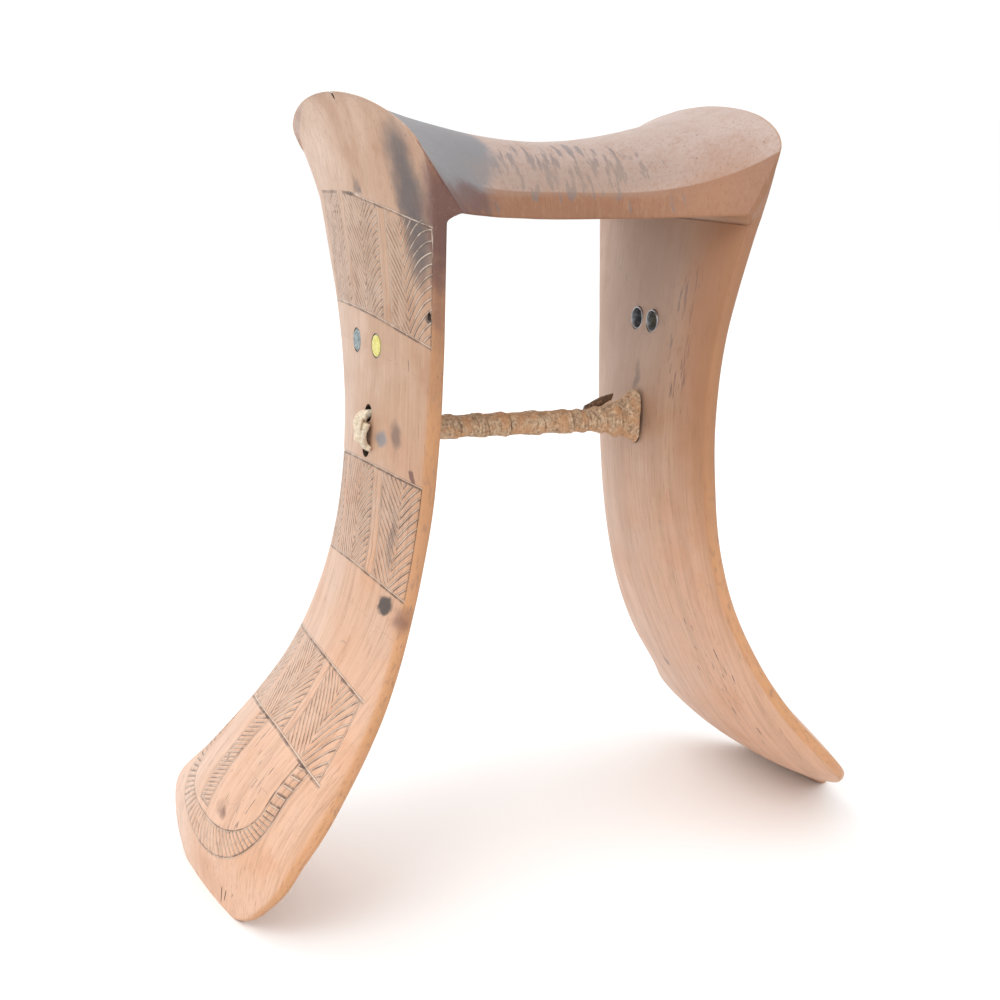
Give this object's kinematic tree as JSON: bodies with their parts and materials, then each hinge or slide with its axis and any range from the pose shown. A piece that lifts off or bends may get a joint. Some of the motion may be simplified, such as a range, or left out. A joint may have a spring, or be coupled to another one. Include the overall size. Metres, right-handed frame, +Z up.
{
  "type": "headrest",
  "caption": "carved wooden headrest with a saddle seat, two outward-flaring blade legs and a hide-wound handle laced between them",
  "frame": {"origin": "on the ground under the middle of the object, both soles at Z = 0", "axes": "+X from the left leg to the right leg (the left leg carries the incised panels seen first), +Y from front to back, +Z up"},
  "size_m": [0.1708, 0.0856, 0.1785],
  "materials": {
    "wood_oiled": "hand-polished, worn at the edges, incised with herringbone panels",
    "rawhide": "dry pale rawhide",
    "wound_hide": "fibrous hide strip, wound",
    "brown_leather": "dark smooth leather",
    "sheet_aluminium": "dull rolled sheet",
    "fill_blue_grey": "satin",
    "fill_yellow": "satin"
  },
  "bodies": {
    "root": {"carved_body": "wood_oiled", "rawhide_lace": "rawhide", "handle_wrap": "wound_hide", "leather_tab": "brown_leather", "inlay_tube_left_front": "sheet_aluminium", "inlay_fill_left_front": "fill_yellow", "inlay_tube_left_rear": "sheet_aluminium", "inlay_fill_left_rear": "fill_blue_grey", "inlay_tube_right_front": "sheet_aluminium", "inlay_fill_right_front": "fill_yellow", "inlay_tube_right_rear": "sheet_aluminium", "inlay_fill_right_rear": "fill_blue_grey"}
  },
  "joints": []
}
